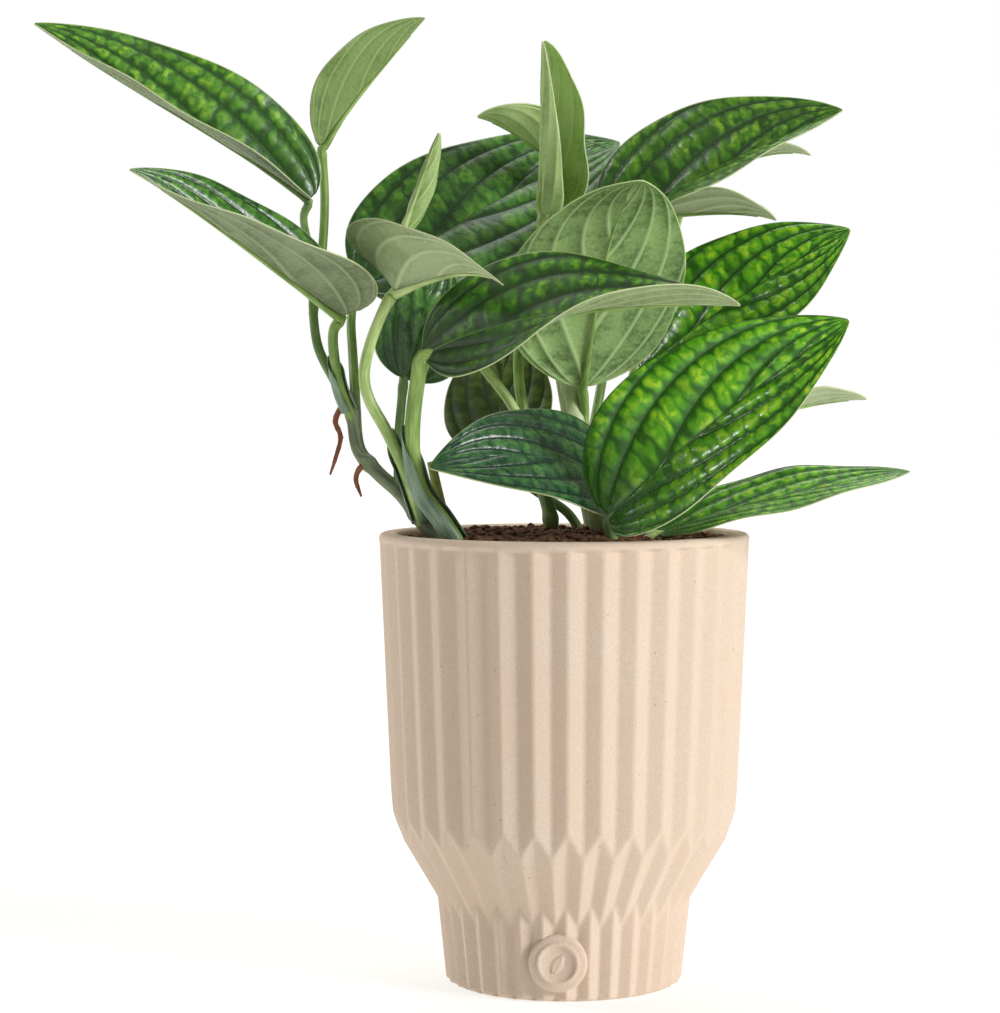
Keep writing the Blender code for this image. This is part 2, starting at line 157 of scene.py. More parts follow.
def floor_material():
    made, tree, shader = new_material("white_paper")
    shader.inputs["Base Color"].default_value = linear("#b0afad")
    shader.inputs["Emission Color"].default_value = linear("#fffefc")
    shader.inputs["Emission Strength"].default_value = 0.68
    shader.inputs["Roughness"].default_value = 0.95
    shader.inputs["IOR"].default_value = 1.2
    return made


def table_top(reach=9.0):
    bm = bmesh.new()
    bmesh.ops.create_circle(bm, cap_ends=True, segments=96, radius=reach)
    obj = piece_of(bm, "table_top", floor_material(), smooth=False)


def wide_sun(name, turn, rise, strength, disc, colour, shade=True):
    """A sun at a compass turn from the front (right is positive) and a height, in degrees."""
    data = bpy.data.lights.new(name, "SUN")
    data.energy = strength
    data.angle = math.radians(disc)
    data.color = linear(colour)[:3]
    obj = bpy.data.objects.new(name, data)
    bpy.context.scene.collection.objects.link(obj)
    t, r = math.radians(turn), math.radians(rise)
    from_here = Vector((math.sin(t) * math.cos(r), -math.cos(t) * math.cos(r), math.sin(r)))
    obj.location = from_here * 2
    obj.rotation_euler = (-from_here).to_track_quat("-Z", "Y").to_euler()
    obj.visible_diffuse = shade


table_top()
wide_sun("key_light", 60, 22, 2.6, 22, "#fcfbff")
wide_sun("top_light", 170, 66, 1.3, 50, "#ffffff")
wide_sun("rim_light", -114, 30, 1.2, 22, "#fbfdff")
wide_sun("glint_light", -64, 36, 0.7, 10, "#ffffff", shade=False)

sky = bpy.data.worlds.new("studio_sky")
bpy.context.scene.world = sky
sky.use_nodes = True
sky_tree = sky.node_tree
ray = add(sky_tree, "ShaderNodeLightPath")
shine = add(sky_tree, "ShaderNodeMapRange", {"Value": ray.outputs["Is Camera Ray"],
                                             "To Min": SKY_SHINE, "To Max": 1.0})
glow = add(sky_tree, "ShaderNodeMix", {0: ray.outputs["Is Diffuse Ray"],
                                       2: shine.outputs[0], 3: SKY_GLOW})
dome = sky_tree.nodes["Background"]
tint = add(sky_tree, "ShaderNodeMix", {0: ray.outputs["Is Camera Ray"], 6: linear("#ffefe0"),
                                       7: linear("#ffffff")}, data_type="RGBA")
sky_tree.links.new(tint.outputs[2], dome.inputs["Color"])
sky_tree.links.new(glow.outputs[0], dome.inputs["Strength"])
bpy.context.scene.view_settings.view_transform = "Standard"

# %% [markdown]
# ## Finishes
# A pleated pot like this is slip-cast stoneware, left unglazed: matt, pinkish beige, with
# fine sand in the body that shows as darker and lighter grains about half a millimetre
# across, and a few iron specks.

# %% Unglazed stoneware
def paint(tree, under, over, *amounts, easing="SMOOTHSTEP"):
    """One colour laid on another. The amounts are multiplied, and each is (value, low, high,
    start, end): it goes from start to end while the value goes from low to high."""
    total = None
    for value, low, high, start, end in amounts:
        step = add(tree, "ShaderNodeMapRange",
                   {"Value": value, "From Min": low, "From Max": high, "To Min": start,
                    "To Max": end}, interpolation_type=easing).outputs[0]
        total = step if total is None else add(tree, "ShaderNodeMath", {0: total, 1: step},
                                               operation="MULTIPLY").outputs[0]
    under = linear(under) if isinstance(under, str) else under
    return add(tree, "ShaderNodeMix", {0: total, 6: under, 7: linear(over)},
               data_type="RGBA").outputs[2]


def stoneware():
    made, tree, shader = new_material("unglazed_sandy_stoneware")
    where = add(tree, "ShaderNodeTexCoord").outputs["Object"]
    sand = add(tree, "ShaderNodeTexNoise", {"Vector": where, "Scale": 1 / (0.8 * MM),
                                            "Detail": 3.0, "Roughness": 0.7})
    clouds = add(tree, "ShaderNodeTexNoise", {"Vector": where, "Scale": 1 / (26 * MM)})
    specks = add(tree, "ShaderNodeTexVoronoi", {"Vector": where, "Scale": 1 / (8 * MM)})
    colour = paint(tree, "#cfbba5", "#dfcebb", (sand.outputs["Fac"], 0.3, 0.7, 0, 1),
                   easing="LINEAR")
    colour = paint(tree, colour, "#d8bfa7", (clouds.outputs["Fac"], 0.3, 0.7, 0, 0.35),
                   easing="LINEAR")
    colour = paint(tree, colour, "#8a6f55", (specks.outputs["Distance"], 0.03, 0.06, 0.5, 0),
                   easing="LINEAR")
    tree.links.new(colour, shader.inputs["Base Color"])
    grain = add(tree, "ShaderNodeBump", {"Height": sand.outputs["Fac"], "Strength": 0.4,
                                         "Distance": 0.25 * MM})
    tree.links.new(grain.outputs[0], shader.inputs["Normal"])
    shader.inputs["Roughness"].default_value = 0.88
    shader.inputs["IOR"].default_value = 1.5
    return made


STONEWARE = stoneware()
print(STONEWARE.name)

# %% [markdown]
# Potting mix is dark, damp peat and bark: brown crumbs from two shades, with reddish bark and
# a rough surface that hardly shines.

# %% Potting mix
def potting_mix(name, dark, light, red):
    made, tree, shader = new_material(name)
    where = add(tree, "ShaderNodeTexCoord").outputs["Object"]
    crumbs = add(tree, "ShaderNodeTexNoise", {"Vector": where, "Scale": 1 / (2.5 * MM),
                                              "Detail": 4.0, "Roughness": 0.7})
    bark = add(tree, "ShaderNodeTexNoise", {"Vector": where, "Scale": 1 / (5 * MM)})
    colour = paint(tree, dark, light, (crumbs.outputs["Fac"], 0.35, 0.68, 0, 1),
                   easing="LINEAR")
    colour = paint(tree, colour, red, (bark.outputs["Fac"], 0.56, 0.64, 0, 0.7),
                   easing="LINEAR")
    tree.links.new(colour, shader.inputs["Base Color"])
    rough = add(tree, "ShaderNodeBump", {"Height": crumbs.outputs["Fac"], "Strength": 0.9,
                                         "Distance": 0.8 * MM})
    tree.links.new(rough.outputs[0], shader.inputs["Normal"])
    shader.inputs["Roughness"].default_value = 0.92
    return made


SOIL = potting_mix("peat_potting_mix", "#3a2212", "#86603f", "#8c4e2c")
print(SOIL.name)

# %% [markdown]
# A leaf's upper side is waxy and puckered. Sharp side veins leave the midrib low down and run
# forward almost beside it, and the flesh between them swells into lanes. Cross veins divide a
# lane into cells about five millimetres long, whose middles glow yellow-green. Each blade
# carries what its finish needs: "veins" counts the side veins passed and how far out from the
# midrib a point is, "blade" is a place on the leaf in millimetres, and the attributes "cells"
# and "margin" hold how near a cell's middle and how far from the edge it is.

# %% Waxy upper side of a leaf
def blade_inputs(tree):
    """Sockets that both sides of a blade use: rib line, cells, outwardness, margin, place."""
    counted = add(tree, "ShaderNodeUVMap", uv_map="veins").outputs[0]
    flat = add(tree, "ShaderNodeUVMap", uv_map="blade").outputs[0]
    split = add(tree, "ShaderNodeSeparateXYZ", {0: counted})
    spot = add(tree, "ShaderNodeSeparateXYZ", {0: flat})
    outward = add(tree, "ShaderNodeMath", {0: split.outputs[1]}, operation="ABSOLUTE")
    gap = add(tree, "ShaderNodeMath", {0: split.outputs[0], 1: 0.5}, operation="PINGPONG")
    cells = add(tree, "ShaderNodeAttribute", attribute_name="cells").outputs["Fac"]
    margin = add(tree, "ShaderNodeAttribute", attribute_name="margin").outputs["Fac"]
    return gap.outputs[0], cells, outward.outputs[0], margin, flat, spot.outputs[1]


def upper_side(name, deep, flesh, bright, vein, line, edge, gloss, glow=1.0):
    made, tree, shader = new_material(name)
    gap, cells, outward, margin, flat, along = blade_inputs(tree)
    drift, blotch, pores = [
        add(tree, "ShaderNodeTexNoise", {"Vector": flat, "Scale": 1 / size, "Detail": detail},
            noise_dimensions="2D").outputs["Fac"]
        for size, detail in ((12.0, 2.0), (3.0, 2.0), (1.1, 3.0))]
    # Painted shade: near the petiole the flesh and the bright cells keep only a tenth of their
    # colour, rising to all of it thirty millimetres out, as the base of the blade lies in shade.
    base = (along, 3.0, 30.0, 0.1, 1.0)
    colour = paint(tree, deep, flesh, (cells, 0.02, 0.5, 0, 1), (drift, 0.25, 0.5, 0.45, 1), base)
    colour = paint(tree, colour, bright, (cells, 0.3, 0.95, 0, glow),
                   (blotch, 0.36, 0.62, 0.1, 1), base, (drift, 0.3, 0.6, 0.4, 1))
    colour = paint(tree, colour, deep, (pores, 0.45, 0.75, 0, 0.25))
    colour = paint(tree, colour, deep, (gap, 0.01, 0.14, 0.6, 0))
    colour = paint(tree, colour, vein, (gap, 0.006, 0.028, 0.8, 0))
    colour = paint(tree, colour, line, (outward, 0.008, 0.04, 1, 0))
    colour = paint(tree, colour, edge, (margin, 0.2, 0.5, 1, 0))
    tree.links.new(colour, shader.inputs["Base Color"])
    relief = add(tree, "ShaderNodeMath", {0: pores, 1: 0.3, 2: cells},
                 operation="MULTIPLY_ADD").outputs[0]
    bump = add(tree, "ShaderNodeBump", {"Height": relief, "Strength": 0.5,
                                        "Distance": 0.18 * MM})
    tree.links.new(bump.outputs[0], shader.inputs["Normal"])
    wax = add(tree, "ShaderNodeMapRange", {"Value": pores, "From Min": 0.3, "From Max": 0.7,
                                           "To Min": gloss, "To Max": gloss + 0.14},
              interpolation_type="SMOOTHSTEP")
    tree.links.new(wax.outputs[0], shader.inputs["Roughness"])
    shader.inputs["IOR"].default_value = 1.5
    return made


MATURE = upper_side("waxy_leaf_upper", "#275213", "#4a8822", "#92c234", "#1d4212", "#7fa45c",
                    "#9fb573", 0.27)
BRIGHT = upper_side("waxy_leaf_upper_sunlit", "#2b6510", "#5bb01c", "#b9e834", "#1e4b12",
                    "#2f5f1f", "#3d6a22", 0.17, 1.0)
SHADED = upper_side("waxy_leaf_upper_shaded", "#254b1e", "#42782d", "#74aa3e", "#1e3c1a",
                    "#4a6a3a", "#86a06a", 0.24, 0.9)
# Painted shade: a darker copy of the upper side, for the front leaf that faces down and forward,
# out of the light.
DEEP_SHADE = upper_side("waxy_leaf_upper_deep_shade", "#173d06", "#2a6208", "#6fb010", "#15330a", "#5f8a30",
                  "#8fa85c", 0.42, 0.95)
# Painted shade and painted sheen: a darker copy of the shaded upper side, tinted grey-blue like
# the veil of sky reflected on a glossy leaf, for the low leaf on the left.
SHADE_AND_SHEEN = upper_side("waxy_leaf_upper_shade_and_sheen", "#1d3c2a", "#33603a", "#619648", "#1a3526",
                    "#3f6148", "#86a06a", 0.2, 0.7)
# Painted shade: a dark, matt olive copy of the upper side, for the low upright leaf at the back,
# which stands in shade.
SHADED_OLIVE = upper_side("shaded_olive_leaf_upper", "#33470f", "#4d651c", "#6f8c30", "#42491c", "#66733a",
                   "#87955c", 0.5, 0.7)
print([m.name for m in (MATURE, BRIGHT, SHADED, DEEP_SHADE, SHADE_AND_SHEEN, SHADED_OLIVE)])

# %% [markdown]
# The underside has no wax: it is pale, matt grey-green, with the veins standing out paler and
# the cells showing through as faint mottling.

# %% Matt underside of a leaf
def under_side(name, ground, mottle, vein, edge="#c3cf9c", roughness=0.5):
    made, tree, shader = new_material(name)
    gap, cells, outward, margin, flat, along = blade_inputs(tree)
    drift, pores = [
        add(tree, "ShaderNodeTexNoise", {"Vector": flat, "Scale": 1 / size, "Detail": detail},
            noise_dimensions="2D").outputs["Fac"]
        for size, detail in ((14.0, 3.0), (1.4, 2.0))]
    colour = paint(tree, ground, mottle, (drift, 0.35, 0.62, 0.15, 1), (cells, 0, 0.9, 1, 0.35))
    colour = paint(tree, colour, vein, (pores, 0.4, 0.75, 0, 0.3))
    colour = paint(tree, colour, vein, (gap, 0.01, 0.1, 0.8, 0))
    colour = paint(tree, colour, vein, (outward, 0.01, 0.05, 1, 0))
    colour = paint(tree, colour, edge, (margin, 0.2, 0.5, 1, 0))
    tree.links.new(colour, shader.inputs["Base Color"])
    bump = add(tree, "ShaderNodeBump", {"Height": pores, "Strength": 0.35,
                                        "Distance": 0.25 * MM})
    tree.links.new(bump.outputs[0], shader.inputs["Normal"])
    shader.inputs["Roughness"].default_value = roughness
    shader.inputs["IOR"].default_value = 1.45
    return made


UNDER = under_side("matt_leaf_underside", "#7e8d66", "#62724c", "#96a57c")
UNDER_PALE = under_side("pale_leaf_underside", "#a2b384", "#8a9c6c", "#b9c99b")
UNDER_GREEN = under_side("green_leaf_underside", "#77924e", "#5f7c3e", "#8ea765", "#8a9c62")
UNDER_DEEP = under_side("deep_leaf_underside", "#8bab66", "#56763f", "#b0cb8c", "#c3d994")
YOUNG = under_side("young_leaf_flesh", "#b0cb84", "#95b568", "#c6dc9c", "#d8e8b4", 0.42)
YOUNG_INNER = under_side("young_leaf_inner", "#b2cf80", "#93b85c", "#c6dd98", "#d8e8b4", 0.38)
print([m.name for m in (UNDER, UNDER_PALE, UNDER_GREEN, UNDER_DEEP, YOUNG, YOUNG_INNER)])

# %% [markdown]
# Petioles and stems are smooth, fleshy stalks with faint streaks running along them. Their UV
# map is again in millimetres, so the streaks are drawn twelve times longer than wide. A dry
# sheath and an aerial root are the same skin in other colours, the root much rougher.

# %% Fleshy stalks and dry roots
def stalk_skin(name, dark, light, roughness=0.42, streak=0.9):
    made, tree, shader = new_material(name)
    flat = add(tree, "ShaderNodeUVMap", uv_map="blade").outputs[0]
    long_way = add(tree, "ShaderNodeMapping", {"Vector": flat,
                                               "Scale": (1 / streak, 1 / (12 * streak), 1)})
    streaks = add(tree, "ShaderNodeTexNoise", {"Vector": long_way.outputs[0], "Scale": 1.0,
                                               "Detail": 3.0}, noise_dimensions="2D")
    clouds = add(tree, "ShaderNodeTexNoise", {"Vector": flat, "Scale": 1 / 14.0},
                 noise_dimensions="2D")
    both = add(tree, "ShaderNodeMath", {0: streaks.outputs["Fac"], 1: clouds.outputs["Fac"]},
               operation="ADD")
    colour = paint(tree, dark, light, (both.outputs[0], 0.75, 1.25, 0, 1), easing="LINEAR")
    tree.links.new(colour, shader.inputs["Base Color"])
    bump = add(tree, "ShaderNodeBump", {"Height": streaks.outputs["Fac"], "Strength": 0.25,
                                        "Distance": 0.2 * MM})
    tree.links.new(bump.outputs[0], shader.inputs["Normal"])
    shader.inputs["Roughness"].default_value = roughness
    shader.inputs["IOR"].default_value = 1.45
    return made


PETIOLE = stalk_skin("fleshy_petiole", "#6d9040", "#9dbb68")
PETIOLE_PALE = stalk_skin("pale_petiole", "#8fae5e", "#c0d78e")
PETIOLE_DEEP = stalk_skin("deep_green_petiole", "#56753a", "#7f9c5a")
STEM = stalk_skin("grey_green_stem", "#53604a", "#82916c", 0.45)
SHEATH = stalk_skin("papery_petiole_sheath", "#54705a", "#8ba588", 0.45)
SHEATH_PALE = stalk_skin("pale_petiole_sheath", "#8ba368", "#c3d29f", 0.45)
DRIED = stalk_skin("yellowed_petiole", "#8a9440", "#b3b866")
ROOT = stalk_skin("dry_aerial_root", "#6d4026", "#a06a48", 0.8, 0.5)
print([m.name for m in (PETIOLE, PETIOLE_PALE, PETIOLE_DEEP, STEM, SHEATH, DRIED, ROOT)])

# %% [markdown]
# ## The pot
# The wall is one line, drawn up the outside, over the lip and down the inside, and spun round
# the axis. Thirty-four pleats are then pressed into it: the tall body, the cone under its
# shoulder and the collar at the foot each have their own pleats, and the cone's are turned by
# half a pleat, so where the three meet the edges zigzag like folded paper.

# %% Pot sizes
PLEATS = 34
PLEAT_DEPTH = 1.1
RIDGE_TURN = 0.0
FOOT_R, COLLAR_R, SHOULDER_R = 43.5, 47.5, 63.5
COLLAR_Z, SHOULDER_Z, BODY_Z = 33.0, 60.0, 74.0
RIM_R = RIM_WIDTH / 2
WALL = 7.5
FLOOR = 8.0
STEPS_PER_PLEAT = 12
FOLD_SHARPNESS = 0.9994
UNSHAPED_R = 50.0
LIP_ROUND = 1.8
LIP_FADE = (RIM_HEIGHT - 4.0, RIM_HEIGHT - 2.0)
print("pleat every", round(360 / PLEATS, 1), "degrees")


# %% Spin and pleat the wall
def rounded(shape, softness):
    """A zigzag between -1 and 1 whose corners are eased by softness."""
    return np.arcsin(softness * np.sin(shape)) / math.asin(softness)


def soft_least(a, b, ease):
    return (a + b - np.sqrt((a - b) ** 2 + ease ** 2)) / 2


def soft_most(a, b, ease):
    return (a + b + np.sqrt((a - b) ** 2 + ease ** 2)) / 2


def pot_radius(turn, height):
    """The outside radius in millimetres at angles and heights."""
    swing = rounded(PLEATS * (turn - math.radians(RIDGE_TURN - 90)) + math.pi / 2, FOLD_SHARPNESS)
    slope = (SHOULDER_R - COLLAR_R) / (SHOULDER_Z - COLLAR_Z)
    body_r = np.interp(height, [SHOULDER_Z - 20, SHOULDER_Z, BODY_Z, RIM_HEIGHT],
                       [SHOULDER_R - 2.5, SHOULDER_R, SHOULDER_R + 1.1, RIM_R - PLEAT_DEPTH])
    cone_r = COLLAR_R + slope * (height - COLLAR_Z)
    collar_r = np.interp(height, [0, COLLAR_Z + 10], [FOOT_R, COLLAR_R + 0.6])
    body = body_r + PLEAT_DEPTH * swing
    cone = cone_r - PLEAT_DEPTH * swing
    collar = collar_r + PLEAT_DEPTH * swing
    pleated = soft_most(soft_least(body, cone, 0.3), collar, 0.3)
    fade = np.interp(height, LIP_FADE, [1.0, 0.0])
    fade = fade * fade * (3 - 2 * fade)
    return RIM_R - (RIM_R - pleated) * fade


def spin_outline(bm, outline, axis, steps, weld=1e-4):
    """An outline's points joined by edges, spun once round the axis and welded."""
    points = [bm.verts.new(point) for point in outline]
    for first, second in zip(points, points[1:]):
        bm.edges.new((first, second))
    bmesh.ops.spin(bm, geom=bm.verts[:] + bm.edges[:], cent=(0, 0, 0), axis=axis,
                   angle=2 * math.pi, steps=steps, use_merge=True)
    bmesh.ops.remove_doubles(bm, verts=bm.verts, dist=weld)


def pot_wall():
    bm = bmesh.new()
    heights = [0.8, 1.6, 2.4] + list(np.arange(4, 22, 3)) + list(np.arange(22, 44, 0.7))
    heights += list(np.arange(44, 50, 1.5)) + list(np.arange(50, 72, 0.7))
    heights += list(np.arange(72, LIP_FADE[0] - 2, 4))
    heights += list(np.arange(LIP_FADE[0] - 1, RIM_HEIGHT - LIP_ROUND - 0.3, 0.35))
    line = [(0.0, 0.0), (FOOT_R - 2.2, 0.0), (FOOT_R - 1.0, 0.15)]
    line += [(UNSHAPED_R, h) for h in heights]
    for middle, start in ((RIM_R - LIP_ROUND, 0), (RIM_R - WALL + LIP_ROUND, 90)):
        for step in range(9):
            turn = math.radians(start + 90 * step / 8)
            line.append((middle + LIP_ROUND * math.cos(turn),
                         RIM_HEIGHT - LIP_ROUND + LIP_ROUND * math.sin(turn)))
    line += [(RIM_R - WALL - 0.4, RIM_HEIGHT - 8), (SHOULDER_R - WALL - 1, BODY_Z),
             (COLLAR_R - WALL - 1, COLLAR_Z), (FOOT_R - WALL - 1, FLOOR), (0.0, FLOOR)]
    spin_outline(bm, [(reach, 0, height) for reach, height in line], (0, 0, 1),
                 PLEATS * STEPS_PER_PLEAT)
    bmesh.ops.recalc_face_normals(bm, faces=bm.faces)
    for vertex in bm.verts:
        x, y, z = vertex.co
        reach = math.hypot(x, y)
        if abs(reach - UNSHAPED_R) < 0.01 and 0.5 < z < RIM_HEIGHT - LIP_ROUND:
            radius = float(pot_radius(math.atan2(y, x), z)) - max(0.0, 1.6 - z) * 0.5
            vertex.co.x *= radius / reach
            vertex.co.y *= radius / reach
    bmesh.ops.scale(bm, vec=(MM, MM, MM), verts=bm.verts)
    return piece_of(bm, "pot_wall", STONEWARE)


pot_wall_piece = pot_wall()
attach(pot_wall_piece, "root")
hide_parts("pot")
print("pot wall:", len(pot_wall_piece.data.polygons), "faces")

# %% [markdown]
# A round boss sits on the front of the collar. The potter's mark that such a boss usually
# carries is left plain here: a raised ring round a small embossed leaf, turned on a disc that
# is spun from its edge line and set into the wall.

# %% Boss on the collar
BOSS_R = 10.8
BOSS_Z = 15.0
BOSS_TURN = -3.8
BOSS_OUT = 2.0


def leaf_emblem(bm, face_at):
    """A small embossed leaf on the boss: a grid drawn in to an outline and domed."""
    made = bmesh.ops.create_grid(bm, x_segments=12, y_segments=16, size=1.0)["verts"]
    for vertex in made:
        across, up = vertex.co.x, (vertex.co.y + 1) / 2
        half = 2.9 * math.sin(math.pi * min(0.999, max(0.001, up)) ** 0.8) + 0.02
        dome = 0.75 * (1 - across * across) * min(1, half) - 0.3 * math.exp(-(across / 0.1) ** 2)
        vertex.co = (half * across, -(face_at + dome - 0.2), 8.4 * (up - 0.5))
    bmesh.ops.rotate(bm, verts=made, cent=(0, 0, 0), matrix=Matrix.Rotation(0.5, 3, "Y"))
    return made


def boss():
    bm = bmesh.new()
    wall = FOOT_R + (COLLAR_R - FOOT_R) * BOSS_Z / COLLAR_Z
    face_at = wall + BOSS_OUT
    line = [(0.0, 0.0), (5.8, 0.0), (6.3, 0.35), (6.8, 0.9), (7.6, 0.9), (8.1, 0.35),
            (8.5, 0.1), (9.6, 0.1), (10.3, -0.4), (BOSS_R, -1.2), (BOSS_R, -5.0)]
    spin_outline(bm, [(reach, -(face_at + out), 0) for reach, out in line], (0, 1, 0), 72,
                 1e-3)
    bmesh.ops.holes_fill(bm, edges=bm.edges, sides=0)
    leaf_emblem(bm, face_at)
    bmesh.ops.recalc_face_normals(bm, faces=bm.faces)
    bmesh.ops.translate(bm, vec=(0, 0, BOSS_Z), verts=bm.verts)
    bmesh.ops.rotate(bm, verts=bm.verts, cent=(0, 0, 0),
                     matrix=Matrix.Rotation(math.radians(BOSS_TURN), 3, "Z"))
    bmesh.ops.scale(bm, vec=(MM, MM, MM), verts=bm.verts)
    return piece_of(bm, "pot_boss", STONEWARE), face_at


boss_piece, boss_face = boss()
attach(boss_piece, "root")
print("boss stands", round(boss_face, 1), "mm from the axis")

# %% [markdown]
# ## The soil
# The soil is a spun plug that fills the pot to its floor and has a lumpy top: its points are
# lifted by noise at two sizes, big lumps and small crumbs. Loose crumbs, nine hundred low
# polyhedra of one to six millimetres, lie on it and break up the edge against the pot.

# %% Soil plug
def soil_height(x, y):
    """Height of the soil's surface above the rim, in millimetres."""
    reach = math.hypot(x, y) / 62.0
    mound = -2.6 + 3.0 * (1 - reach * reach)
    lumps = 1.6 * noise.noise(Vector((x / 9, y / 9, 1.7)))
    crumbs = 1.1 * noise.noise(Vector((x / 2.8, y / 2.8, 5.1)))
    return mound + lumps + crumbs


def soil_plug():
    bm = bmesh.new()
    edge = RIM_R - WALL - 0.5
    line = [(edge * step / 56, 0.0) for step in range(57)]
    inset = WALL + 1.4
    bottom = 8.4 - RIM_HEIGHT
    line += [(edge, -8.0), (SHOULDER_R - inset, BODY_Z - RIM_HEIGHT),
             (COLLAR_R - inset, COLLAR_Z - RIM_HEIGHT), (FOOT_R - inset, bottom), (0.0, bottom)]
    spin_outline(bm, [(reach, 0, height) for reach, height in line], (0, 0, 1), 220)
    bmesh.ops.recalc_face_normals(bm, faces=bm.faces)
    for vertex in bm.verts:
        if vertex.co.z > -1:
            vertex.co.z = soil_height(vertex.co.x, vertex.co.y)
        vertex.co.z += RIM_HEIGHT
    bmesh.ops.scale(bm, vec=(MM, MM, MM), verts=bm.verts)
    return piece_of(bm, "soil_plug", SOIL)


soil_piece = soil_plug()
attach(soil_piece, "root")
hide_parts("soil")
print("soil plug:", len(soil_piece.data.polygons), "faces")


# %% Loose crumbs
def soil_crumbs(count=900, seed=4):
    rng = random.Random(seed)
    bm = bmesh.new()
    for number in range(count):
        made = bmesh.ops.create_icosphere(bm, subdivisions=1, radius=1.0)["verts"]
        reach = 60.0 * math.sqrt(rng.random())
        turn = rng.uniform(0, 2 * math.pi)
        x, y = reach * math.cos(turn), reach * math.sin(turn)
        size = rng.uniform(0.5, 1.7)
        for vertex in made:
            vertex.co *= 1 + 0.35 * noise.noise(vertex.co * 1.3 + Vector((number, 0, 0)))
        bmesh.ops.scale(bm, vec=(size * rng.uniform(0.8, 1.9), size,
                                 size * rng.uniform(0.5, 0.9)), verts=made)
        spin = rng.uniform(0, math.pi)
        for vertex in made:
            a, b = vertex.co.x, vertex.co.y
            vertex.co.x = x + a * math.cos(spin) - b * math.sin(spin)
            vertex.co.y = y + a * math.sin(spin) + b * math.cos(spin)
            vertex.co.z += RIM_HEIGHT + soil_height(x, y) + 0.2 * size
    bmesh.ops.scale(bm, vec=(MM, MM, MM), verts=bm.verts)
    return piece_of(bm, "soil_crumbs", SOIL, smooth=False)


crumb_piece = soil_crumbs()
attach(crumb_piece, "root")
print("crumbs:", len(crumb_piece.data.polygons), "faces")

# %% [markdown]
# ## The leaf blades
# A blade is a flat grid of points bent into shape. Its midrib is a Bezier curve from the
# petiole to the tip. At each point along it the two halves open sideways, fold up like a
# half-shut book and curl a little. The width follows a power law, round at the base and
# pointed at the tip. The quilting is real: each point is lifted between the side veins.

